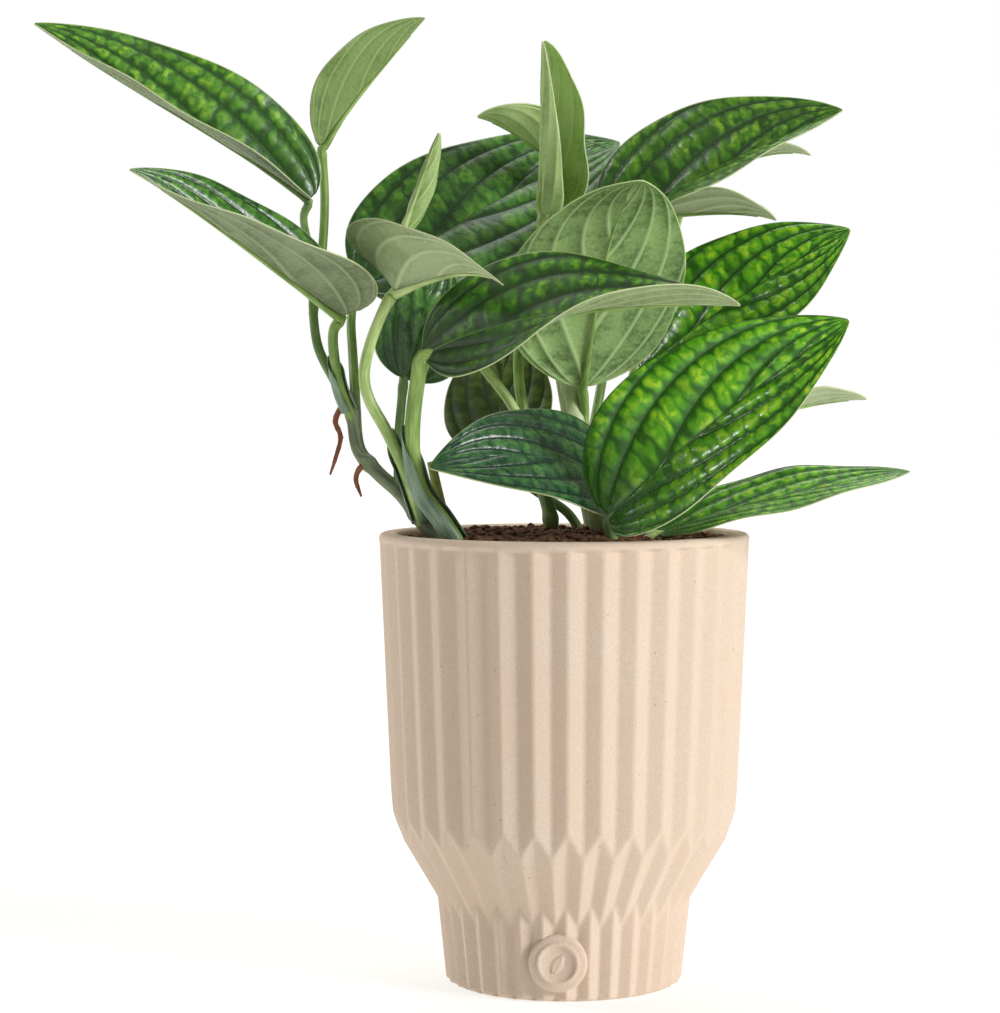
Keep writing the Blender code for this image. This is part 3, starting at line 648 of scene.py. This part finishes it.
# %% Leaf sizes
# For each leaf: the base and tip (right, back, above the rim), width, how it leaves and
# droops, roll about its length, twist, and fold of its halves, in millimetres and degrees.
LEAVES = {
    "upper_left": dict(base=(-95, -5, 125), tip=(-196, -20, 189), width=54, rise=5, droop=-4,
        roll=-36, fold=36, base_round=0.5, lobe=0.15, upper=MATURE, under=UNDER),
    "left": dict(base=(-82, -18, 81), tip=(-157, -52, 133), width=56, rise=0, droop=5, roll=-20,
        twist=-34, fold=44, fold_tip=24, base_round=0.36, lobe=0.4, upper=SHADED, under=UNDER),
    "top_narrow": dict(base=(-92, 8, 146), tip=(-53, 20, 196), width=38, rise=8, droop=2, roll=-26,
        fold=44, upper=MATURE, under=UNDER_GREEN),
    "front_pale": dict(base=(-63, -28, 90), tip=(-23, -77, 91), width=60, rise=14, droop=25,
        roll=-24, fold=44, fold_tip=24, base_round=0.22, tip_round=1.5, left_share=0.55, lobe=0.5,
        upper=SHADED, under=UNDER_PALE),
    "front_centre": dict(base=(-52, -36, 67), tip=(61, -68, 84), width=60, rise=18, droop=12,
        roll=27, twist=-85, fold=10, fold_tip=30, upper=DEEP_SHADE, under=UNDER_PALE),
    "centre_upright": dict(base=(7, 10, 55), tip=(27, -42, 130), width=74, rise=10, droop=35,
        fold=5, upper=MATURE, under=UNDER_DEEP),
    "young_upright": dict(base=(-7, 21, 122), tip=(-8, 2, 185), width=48, roll=235, fold=5,
        curl=165, curl_tip=110, left_share=0.6, base_round=0.18, tip_round=0.6, upper=YOUNG_INNER,
        under=YOUNG),
    "young_side": dict(base=(5, 41, 139), tip=(-33, 39, 160), width=34, droop=15, roll=-12,
        fold=30, curl=80, upper=YOUNG_INNER, under=YOUNG),
    "upper_right": dict(base=(15, 25, 115), tip=(106, 10, 160), width=60, rise=6, droop=4, roll=44,
        fold=30, base_round=0.5, upper=MATURE, under=UNDER),
    "right_pale": dict(base=(31, 48, 122), tip=(84, 40, 120), width=34, rise=5, droop=15, fold=35,
        upper=MATURE, under=UNDER_PALE),
    "far_small": dict(base=(52, 70, 138), tip=(101, 75, 148), width=24, rise=8, droop=25, fold=30,
        upper=MATURE, under=UNDER_PALE),
    "right": dict(base=(30, 20, 61), tip=(109, 10, 115), width=64, rise=10, droop=4, roll=50,
        fold=8, quilt=1.5, upper=BRIGHT, under=UNDER),
    "front_right": dict(base=(15, -45, 8), tip=(100, -62, 79), width=70, rise=11, droop=7, roll=62,
        twist=20, fold=17, base_round=0.44, lobe=0.2, quilt=1.9, right_share=0.84, upper=BRIGHT,
        under=UNDER),
    "low_left": dict(base=(41, 12, 13), tip=(-50, -49, 26), width=60, rise=12, droop=30, roll=-41,
        fold=2, quilt=1.35, upper=SHADE_AND_SHEEN, under=UNDER),
    "low_right": dict(base=(34, -26, 1), tip=(127, -28, 24), width=44, rise=8, droop=4, roll=18,
        fold=8, upper=BRIGHT, under=UNDER),
    "low_back": dict(base=(-26, 42, 28), tip=(-21, 58, 82), width=46, fold=8, base_round=0.42,
        upper=SHADED_OLIVE, under=UNDER_DEEP),
    "far_right": dict(base=(70, 45, 40), tip=(122, 60, 50), width=30, rise=10, droop=10, fold=30,
        upper=MATURE, under=UNDER_PALE),
    "back_left": dict(base=(-77, 26, 94), tip=(24, 72, 153), width=70, rise=8, droop=12, roll=47,
        fold=8, base_round=0.42, quilt=0.95, upper=SHADED, under=UNDER),
    "mid_left": dict(base=(-60, -15, 58), tip=(-47, -5, 107), width=42, rise=5, droop=10, roll=86,
        fold=10, base_round=0.42, upper=SHADED, under=UNDER_DEEP),
    "rolled_spike": dict(base=(-60, -5, 113), tip=(-47, -5, 150), width=19, roll=240, fold=0,
        curl=168, upper=YOUNG_INNER, under=YOUNG),
}
print(len(LEAVES), "leaves")


# %% The shape of a blade
def turned(vectors, axis, degrees):
    """Vectors turned about matching unit axes, by Rodrigues' formula."""
    c = np.cos(np.radians(degrees))[:, None]
    s = np.sin(np.radians(degrees))[:, None]
    along = np.sum(axis * vectors, axis=1)[:, None]
    return vectors * c + np.cross(axis, vectors) * s + axis * along * (1 - c)


def blade_frame(leaf, u):
    """Midrib point, its direction, the blade's normal and its side, for each u."""
    base, tip = place(leaf["base"]), place(leaf["tip"])
    chord = tip - base
    length = np.linalg.norm(chord)
    t = chord / length
    n = np.array([0.0, 0.0, 1.0]) - t[2] * t
    n = turned((n / np.linalg.norm(n))[None], t[None], np.array([leaf.get("roll", 0)]))[0]
    leave = t + n * math.tan(math.radians(leaf.get("rise", 0)))
    arrive = t - n * math.tan(math.radians(leaf.get("droop", 0)))
    p1 = base + leave * length / 3
    p2 = tip - arrive * length / 3
    u = np.asarray(u, float)[:, None]
    w = 1 - u
    middle = w ** 3 * base + 3 * w * w * u * p1 + 3 * w * u * u * p2 + u ** 3 * tip
    tangent = w * w * (p1 - base) + 2 * w * u * (p2 - p1) + u * u * (tip - p2)
    tangent /= np.linalg.norm(tangent, axis=1)[:, None]
    normal = n - np.sum(n * tangent, axis=1)[:, None] * tangent
    normal /= np.linalg.norm(normal, axis=1)[:, None]
    normal = turned(normal, tangent, leaf.get("twist", 0) * (u[:, 0] - 0.5))
    return middle, tangent, normal, np.cross(tangent, normal), length


def half_width(leaf, u):
    """Half the blade's width at u, round at the base and drawn out to a point."""
    power, tip_power = leaf.get("base_round", 0.58), leaf.get("tip_round", 0.85)
    peak = power / (power + tip_power)
    top = peak ** power * (1 - peak) ** tip_power
    return leaf["width"] * GROWTH / 2 * u ** power * (1 - u) ** tip_power / top


def vein_count(u, reach, v):
    """How many side veins lie between the leaf's base and a point.

    A side vein leaves the midrib and runs forward, faster and faster, as it nears the edge.
    Towards the tip the veins stand closer together.
    """
    start = u - 0.5 * reach - 0.62 * reach ** 2
    return 2.5 * start + 2.0 * np.maximum(0, start - 0.2) ** 2 + np.where(v < 0, 0.4, 0.0)


def chance(a, b):
    """A number from 0 to 1 that looks random but is always the same for a and b."""
    return (np.sin(a * 12.9898 + b * 78.233) * 43758.5453) % 1.0


CELL_LENGTH = 5.2
LEAF_THICK = 0.45


def cell_glow(veins, along, seed):
    """How near each point is to the middle of its cell, from 0 at the walls to 1."""
    shift = np.array([noise.noise(Vector((a * 2.2, b / 3.2, seed))) for a, b in
                      zip(veins, along)])
    across = veins + 0.16 * shift
    lane = np.floor(across)
    inside = across - lane
    step = along / CELL_LENGTH + 7 * chance(lane, seed) + 0.55 * shift
    best = np.zeros(len(veins))
    for offset in (-1, 0, 1):
        cell = np.floor(step) + offset
        middle = cell + 0.5 + 0.4 * (chance(lane, cell) - 0.5)
        bright = 0.5 + 0.5 * chance(cell, lane)
        apart = ((inside - 0.5) / 0.43) ** 2 + ((step - middle) / 0.47) ** 2
        best = np.maximum(best, bright * np.exp(-1.1 * apart ** 1.7))
    return best


def blade_surface(leaf, u, v, seed):
    """Points of the quilted upper side, with their UV positions, cells and margin."""
    middle, tangent, normal, side, length = blade_frame(leaf, u)
    full = half_width(leaf, u)
    half = full * np.where(v < 0, leaf.get("left_share", 1.0), leaf.get("right_share", 1.0))
    reach = np.sqrt(v * v + 0.0006) - math.sqrt(0.0006)
    fold = leaf["fold"]
    angle = np.radians(fold + (leaf.get("fold_tip", fold) - fold) * u)
    curl = leaf.get("curl", 0.01)
    curl = np.radians(curl + (leaf.get("curl_tip", curl) - curl) * u)
    out = (np.sin(angle + curl * reach) - np.sin(angle)) / curl
    up = (np.cos(angle) - np.cos(angle + curl * reach)) / curl
    hand = np.sign(v)
    slant = angle + curl * reach
    face = np.cos(slant)[:, None] * normal - (hand * np.sin(slant))[:, None] * side
    across_mm, along_mm = v * half, u * length
    veins = vein_count(u, np.abs(v), v)
    cells = cell_glow(veins, along_mm, seed)
    lanes = np.abs(np.sin(math.pi * veins)) ** 0.55
    calm = np.clip(half / 24.0, 0.1, 1) * np.clip(np.abs(v) / 0.1, 0, 1) * (1 - v ** 8)
    calm *= np.clip((1 - u) / 0.12, 0, 1) * np.clip(u / 0.05, 0, 1)
    lift = leaf.get("quilt", 1.3) * calm * (lanes - 0.6 + 0.1 * cells)
    wave = leaf.get("wave", 0.9) * reach ** 3 * np.sin(2 * math.pi * 2.3 * u + 2.0 * hand + seed)
    lift += wave * np.clip(half / 22.0, 0, 1)
    points = middle + (half * hand * out)[:, None] * side + (half * up)[:, None] * normal
    back = leaf.get("lobe", 0.0) * half * reach * reach * (1 - u) ** 2
    points += lift[:, None] * face - back[:, None] * tangent
    margin = np.minimum((1 - np.abs(v)) * half, (1 - u) * length)
    return points, np.stack([across_mm, along_mm], 1), np.stack([veins, v], 1), cells, margin


def blade(name, leaf, seed):
    wide = leaf["width"] > 45
    across, along = (96, 150) if wide else (64, 96)
    bm = bmesh.new()
    map_blade = bm.loops.layers.uv.new("blade")
    map_veins = bm.loops.layers.uv.new("veins")
    bmesh.ops.create_grid(bm, x_segments=across, y_segments=along, size=1.0)
    grid = np.array([vertex.co[:] for vertex in bm.verts])
    v = grid[:, 0]
    u = 0.003 + 0.994 * (grid[:, 1] + 1) / 2
    points, flat, veins, cells, margin = blade_surface(leaf, u, v, seed)
    for vertex, point in zip(bm.verts, points):
        vertex.co = point * MM
    for face in bm.faces:
        for loop in face.loops:
            loop[map_blade].uv = flat[loop.vert.index]
            loop[map_veins].uv = veins[loop.vert.index]
    obj = piece_of(bm, name, leaf["upper"], leaf["under"])
    obj.data.attributes.new("cells", "FLOAT", "POINT").data.foreach_set("value", cells)
    obj.data.attributes.new("margin", "FLOAT", "POINT").data.foreach_set("value", margin)
    flesh = obj.modifiers.new("flesh", "SOLIDIFY")
    flesh.thickness = LEAF_THICK * MM
    flesh.offset = -1.0
    flesh.material_offset = 1
    flesh.material_offset_rim = 1
    return obj


# %% Grow the leaves
for seed, (key, leaf) in enumerate(LEAVES.items()):
    piece = blade("blade_" + key, leaf, seed)
    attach(piece, "root")
    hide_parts("leaf_" + key)
    low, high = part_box("leaf_" + key)
    spots = np.array([vertex.co[:] for vertex in piece.data.vertices])
    gap = max(abs(spots.max(0) - np.array(high)).max(), abs(spots.min(0) - np.array(low)).max())
    print(key, "differs from its solid by", round(gap / MM, 1), "mm")

# %% [markdown]
# ## Petioles and stems
# Each stalk is a grid rolled into a tube along a smooth path from the soil or stem up to its
# blade, and it runs on under the blade as the midrib, thinning towards the tip, as the real
# one does. The tube is channelled on its upper side and swells at the knee under the blade.

# %% Stalk routes
# The solid model's routes, from the blade down, but ending a little sooner in the soil. They
# are in millimetres from the middle of the rim.
STEMS = {
    "stem_left": dict(path=[(-81, -5, 53), (-80, -5, 48), (-79, -6, 41), (-77, -8, 31),
        (-70, -12, 23), (-61, -16, 15), (-54, -20, 6), (-46, -24, -4), (-44, -25, -12)], top=2.6,
        foot=2.9, joints=(0.1, 0.36, 0.7)),
    "stem_thin": dict(path=[(-15, 18, 45), (-12, 14, 27), (-6, 6, 10), (-4, 4, -4), (-3, 3, -12)],
        top=2.8, foot=2.6, joints=(0.15, 0.72), skin=PETIOLE_DEEP),
    "stem_centre": dict(path=[(0, 17, 66), (3, 16, 48), (7, 13, 26), (11, 8, 8), (13, 4, -4),
        (14, 3, -12)], top=4.2, foot=4.2, joints=(0.3, 0.6), skin=SHEATH_PALE),
}
PETIOLES = {
    "upper_left": dict(path=[(-95, -5, 125), (-98, -2, 119), (-97, 3, 110), (-95, 5, 97),
        (-95, 5, 84), (-93, 3, 70), (-87, 0, 58), (-80, -5, 46)], top=1.4, foot=2.0,
        skin=PETIOLE_DEEP),
    "top_narrow": dict(path=[(-92, 8, 146), (-91, 10, 133), (-91, 11, 120), (-92, 10, 105),
        (-94, 8, 92), (-95, 5, 82)], top=1.6, foot=1.8),
    "left": dict(path=[(-82, -18, 81), (-86, -16, 76), (-86, -13, 66), (-84, -9, 54),
        (-79, -6, 42)], top=1.8, foot=2.2),
    "back_left": dict(path=[(-77, 26, 94), (-80, 20, 88), (-81, 12, 80), (-80, 6, 66),
        (-79, -1, 54), (-78, -6, 38)], top=1.6, foot=2.0),
    "front_pale": dict(path=[(-63, -28, 90), (-67, -30, 83), (-72, -31, 70), (-74, -31, 59),
        (-72, -31, 50), (-66, -30, 39), (-60, -29, 26), (-56, -26, 14), (-53, -21, 4)], top=2.0,
        foot=2.3, skin=PETIOLE_PALE),
    "front_centre": dict(path=[(-52, -36, 67), (-54, -36, 59), (-56, -36, 43), (-56, -35, 30),
        (-53, -35, 17), (-45, -35, 6), (-39, -35, -4), (-36, -35, -12)], top=2.8, foot=3.0),
    "mid_left": dict(path=[(-60, -15, 58), (-61, -15, 48), (-62, -15, 35), (-62, -15, 22),
        (-62, -16, 14)], top=1.6, foot=2.0, skin=PETIOLE_DEEP),
    "young_side": dict(path=[(5, 41, 139), (7, 35, 131), (6, 29, 118), (2, 28, 104), (-7, 28, 90),
        (-16, 25, 75), (-17, 21, 59), (-15, 18, 44)], top=1.4, foot=2.2),
    "rolled_spike": dict(path=[(-60, -5, 112), (-61, -4, 102), (-55, -1, 92), (-42, 2, 78),
        (-31, 10, 63), (-21, 15, 50), (-13, 14, 36)], top=1.8, foot=2.0, skin=PETIOLE_PALE),
    "young_upright": dict(path=[(-7, 21, 122), (-8, 21, 98), (-5, 20, 83), (-1, 17.5, 68.5),
        (1, 17, 60)], top=2.4, foot=3.6, skin=PETIOLE_PALE),
    "centre_upright": dict(path=[(7, 10, 55), (8, 13, 48), (8, 15, 38), (7, 13, 28)], top=1.8,
        foot=2.0),
    "upper_right": dict(path=[(15, 25, 115), (11, 26, 104), (4, 25, 85), (3, 23, 66), (6, 18, 46),
        (7, 14, 30)], top=1.8, foot=2.2),
    "right_pale": dict(path=[(31, 48, 122), (26, 45, 100), (19, 38, 74), (14, 26, 50),
        (10, 17, 28), (9, 10, 14)], top=1.6, foot=2.0),
    "far_small": dict(path=[(52, 70, 138), (46, 68, 118), (34, 56, 80), (24, 44, 40), (20, 34, 12),
        (19, 30, -4), (19, 28, -12)], top=1.6, foot=2.2),
    "right": dict(path=[(30, 20, 61), (27, 21, 52), (24, 22, 36), (25, 18, 16), (27, 15, -4),
        (27, 15, -12)], top=1.8, foot=2.2, skin=PETIOLE_DEEP),
    "front_right": dict(path=[(15, -45, 8), (16, -44, 3), (17, -43, -4), (17, -42, -12)], top=2.0,
        foot=2.4, skin=PETIOLE_DEEP),
    "low_left": dict(path=[(41, 12, 13), (44, 13, 7), (43, 11, -4), (41, 10, -12)], top=1.8,
        foot=2.2),
    "low_right": dict(path=[(34, -26, 1), (31, -26, -1), (29, -26, -6), (28, -26, -12)], top=1.8,
        foot=2.2, skin=PETIOLE_PALE),
    "low_back": dict(path=[(-26, 42, 28), (-22, 39, 22), (-10, 34, 14), (2, 31, 6), (8, 30, -4),
        (9, 29, -12)], top=1.6, foot=2.0, skin=PETIOLE_DEEP),
    "far_right": dict(path=[(70, 45, 40), (62, 43, 34), (50, 38, 20), (42, 32, 4), (38, 29, -5),
        (37, 28, -12)], top=1.4, foot=2.0),
}
EXTRAS = {
    "petiole_cut_stub": dict(path=[(-50, -8, 27), (-47, -9, 13), (-43, -11, -4), (-42, -12, -12)],
        radii=(1.7, 2.0, 2.2, 2.2), skin=DRIED, slot="petiole"),
    "aerial_root_long": dict(path=[(-81, -6, 50), (-84, -6, 47), (-86, -7, 42), (-84, -8, 36),
        (-86, -8, 28), (-88, -8, 22)], radii=(1.2, 1.1, 1.0, 0.9, 0.8, 0.4), skin=ROOT,
        slot="root"),
    "aerial_root_short": dict(path=[(-74, -10, 27), (-77, -12, 24), (-78, -13, 20),
        (-76, -13, 14)], radii=(1.2, 1.1, 0.9, 0.4), skin=ROOT, slot="root"),
}
print(len(STEMS), "stems,", len(PETIOLES), "petioles,", len(EXTRAS), "small pieces")


# %% Smooth paths and tubes
RING_STEP = 1.2


def smooth_path(path, spacing=RING_STEP):
    """Evenly spaced points on a curve that passes through all of a path's points."""
    given = np.array([place(point) for point in path], float)
    ends = np.vstack([2 * given[0] - given[1], given, 2 * given[-1] - given[-2]])
    out = []
    for i in range(len(given) - 1):
        a, b, c, d = ends[i:i + 4]
        for f in np.linspace(0, 1, 12, endpoint=False):
            point = 2 * b + (c - a) * f + (2 * a - 5 * b + 4 * c - d) * f * f
            out.append(0.5 * (point + (3 * b - a - 3 * c + d) * f ** 3))
    out.append(given[-1])
    out = np.array(out)
    walked = np.concatenate([[0], np.cumsum(np.linalg.norm(np.diff(out, axis=0), axis=1))])
    count = max(4, int(walked[-1] / spacing))
    even = np.linspace(0, walked[-1], count + 1)
    return np.stack([np.interp(even, walked, out[:, k]) for k in range(3)], 1), even


def rings_along(points):
    """Two directions square to the path at each point, which twist as little as they can."""
    tangents = np.gradient(points, axis=0)
    tangents /= np.linalg.norm(tangents, axis=1)[:, None]
    across = np.cross(tangents[0], (0.0, -1.0, 0.1))
    sides_x, sides_y = [], []
    for along in tangents:
        across = across - along * np.dot(across, along)
        across /= np.linalg.norm(across)
        sides_x.append(across)
        sides_y.append(np.cross(along, across))
    return sides_x, sides_y


def wrapped_grid(points, sides, bend):
    """A grid wrapped round a path. For a place across the grid and a ring, bend gives the turn,
    the radius and the place on the skin in millimetres."""
    rings = len(points) - 1
    sides_x, sides_y = rings_along(points)
    bm = bmesh.new()
    flat = bm.loops.layers.uv.new("blade")
    bmesh.ops.create_grid(bm, x_segments=sides, y_segments=rings, size=1.0)
    spots = {}
    for vertex in bm.verts:
        ring = round((vertex.co.y + 1) / 2 * rings)
        turn, radius, spots[vertex] = bend(vertex.co.x, ring)
        offset = math.cos(turn) * sides_x[ring] + math.sin(turn) * sides_y[ring]
        vertex.co = (points[ring] + radius * offset) * MM
    for face in bm.faces:
        for loop in face.loops:
            loop[flat].uv = spots[loop.vert]
    return bm


def tube(name, points, radii, skin, sides=16, groove=0.0):
    """A stalk: a grid rolled round a path, welded along its seam and closed at its ends."""
    walked = np.concatenate([[0], np.cumsum(np.linalg.norm(np.diff(points, axis=0), axis=1))])

    def bend(across, ring):
        part = (across + 1) / 2
        radius = radii[ring] * (1 - groove * math.exp(-((part - 0.25) / 0.09) ** 2))
        return 2 * math.pi * part, radius, (part * 2 * math.pi * radii[ring], walked[ring])

    bm = wrapped_grid(points, sides, bend)
    bmesh.ops.remove_doubles(bm, verts=bm.verts, dist=1e-6)
    bmesh.ops.holes_fill(bm, edges=bm.edges, sides=0)
    bmesh.ops.recalc_face_normals(bm, faces=bm.faces)
    return piece_of(bm, name, skin)


def bumped(even, joints, size=0.22, width=2.2):
    """Radius factors that swell at each joint, given as shares of the length."""
    factor = np.ones(len(even))
    for share in joints:
        factor += size * np.exp(-((even - share * even[-1]) / width) ** 2)
    return factor


# %% Grow the stems
for key, spec in STEMS.items():
    points, even = smooth_path(spec["path"])
    radii = np.interp(even / even[-1], [0, 1], [spec["top"], spec["foot"]])
    radii = radii * bumped(even, spec["joints"])
    piece = tube("skin_" + key, points, radii, spec.get("skin", STEM))
    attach(piece, "root")
    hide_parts(key)
    print(key, round(even[-1]), "mm long")

# %% [markdown]
# Under the blade the petiole becomes the midrib. Its points are taken from the blade's own
# middle line and lowered by their radius, so the rib stands out of the underside only.

# %% Grow the petioles and midribs
RIB_START, RIB_END = 0.03, 0.86


def midrib(leaf, radius):
    """Points and radii of the rib under a blade, from its base outward."""
    u = np.linspace(RIB_START, RIB_END, 40)
    middle, _, normal, _, _ = blade_frame(leaf, u)
    thin = np.interp(u, [RIB_START, 0.2, RIB_END], [0.8 * radius, 0.5 * radius, 0.22])
    drop = 0.3 + 0.95 * thin
    return middle - normal * drop[:, None], thin


for key, spec in PETIOLES.items():
    points, even = smooth_path(spec["path"][::-1])
    radii = np.interp(even / even[-1], [0, 1], [spec["foot"], spec["top"]])
    radii = radii * (1 + 0.18 * np.exp(-((even - even[-1] + 3.0) / 3.0) ** 2))
    rib, thin = midrib(LEAVES[key], spec["top"])
    whole = np.vstack([points[:-1], rib])
    stalk = tube("stalk_" + key, whole, np.concatenate([radii[:-1], thin]),
                 spec.get("skin", PETIOLE), groove=0.12)
    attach(stalk, "root")
    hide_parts("petiole_" + key)
print("petioles grown:", len(PETIOLES))

# %% [markdown]
# At its foot a petiole of this plant is a sheath: a thin skin, open along one side, that once
# wrapped the next leaf. It dries at its edges and ends above in a point. A grid bent into an
# open round, whose gap widens upward, makes it, and Solidify gives it its thin wall.

# %% Sheaths round the petioles
SHEATH_THICK = 0.4
SHEATH_POINT = 0.253
SHEATHS = {
    "front_centre": dict(low=0.12, high=0.7, foot=4.0, top=3.6, gap_at=-35, skin=SHEATH),
    "front_pale": dict(low=0.02, high=0.42, foot=3.4, top=2.9, gap_at=-120, skin=SHEATH),
    "left": dict(low=0.1, high=0.62, foot=3.0, top=2.5, gap_at=-60, skin=SHEATH),
    "young_upright": dict(low=0.0, high=0.62, foot=4.4, top=3.4, gap_at=-50, skin=SHEATH_PALE),
}


def sheath(name, points, radii, gap_at, skin):
    def bend(across, ring):
        share = ring / (len(points) - 1)
        half = math.radians(155 - 30 * share - 105 * max(0.0, share - 0.6) ** 1.5 / SHEATH_POINT)
        turn = math.radians(gap_at + 180) + half * across
        radius = radii[ring] * (1 + 0.12 * abs(across) ** 4)
        return turn, radius, (turn * radius, RING_STEP * ring)

    bm = wrapped_grid(points, 20, bend)
    bmesh.ops.recalc_face_normals(bm, faces=bm.faces)
    obj = piece_of(bm, name, skin)
    wall = obj.modifiers.new("wall", "SOLIDIFY")
    wall.thickness = SHEATH_THICK * MM
    wall.offset = 0.0
    return obj


for key, spec in SHEATHS.items():
    points, even = smooth_path(PETIOLES[key]["path"][::-1])
    inside = (even >= spec["low"] * even[-1]) & (even <= spec["high"] * even[-1])
    points = points[inside]
    radii = np.linspace(spec["foot"], spec["top"], len(points))
    piece = sheath("sheath_" + key, points, radii, spec["gap_at"], spec["skin"])
    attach(piece, "root")
print("sheaths:", len(SHEATHS))

# %% Small pieces
for key, spec in EXTRAS.items():
    points, even = smooth_path(spec["path"], 0.8)
    radii = np.interp(even / even[-1], np.linspace(0, 1, len(spec["radii"])), spec["radii"])
    if "root" in key:
        wobble = [noise.noise(Vector((0.9 * s, 0, len(key)))) for s in even]
        radii = radii * (1 + 0.35 * np.array(wobble))
    piece = tube("skin_" + key, points, radii, spec["skin"], sides=12)
    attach(piece, "root")
    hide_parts(key)
print("small pieces:", len(EXTRAS))
